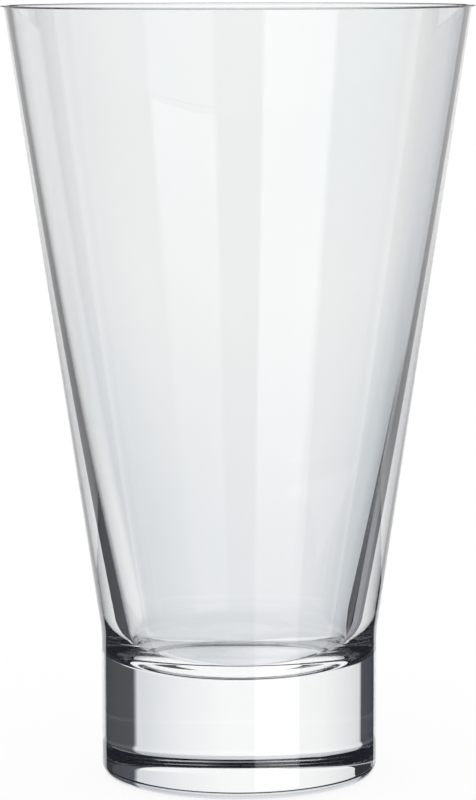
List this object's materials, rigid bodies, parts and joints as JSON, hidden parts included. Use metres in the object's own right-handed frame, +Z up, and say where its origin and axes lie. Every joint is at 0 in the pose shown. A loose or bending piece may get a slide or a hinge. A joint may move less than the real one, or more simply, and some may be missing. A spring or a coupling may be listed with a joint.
{
  "type": "highball glass",
  "caption": "Tall clear drinking glass: a straight conical bowl with a fine lip round its rim on a short, solid cylindrical glass base with a flat underside.",
  "frame": {"origin": "centre of the flat underside, on the surface that the glass stands on", "axes": "+Z up along the axis of the glass, towards the mouth; the glass is round, so X and Y are free"},
  "size_m": [0.091, 0.091, 0.1498],
  "materials": {
    "bowl_glass": "clear soda-lime glass, blown and fire-polished, smooth and glossy",
    "base_glass": "clear soda-lime glass, pressed and fire-polished, smooth and glossy"
  },
  "bodies": {
    "root": {"bowl": "bowl_glass", "base": "base_glass"}
  },
  "joints": []
}
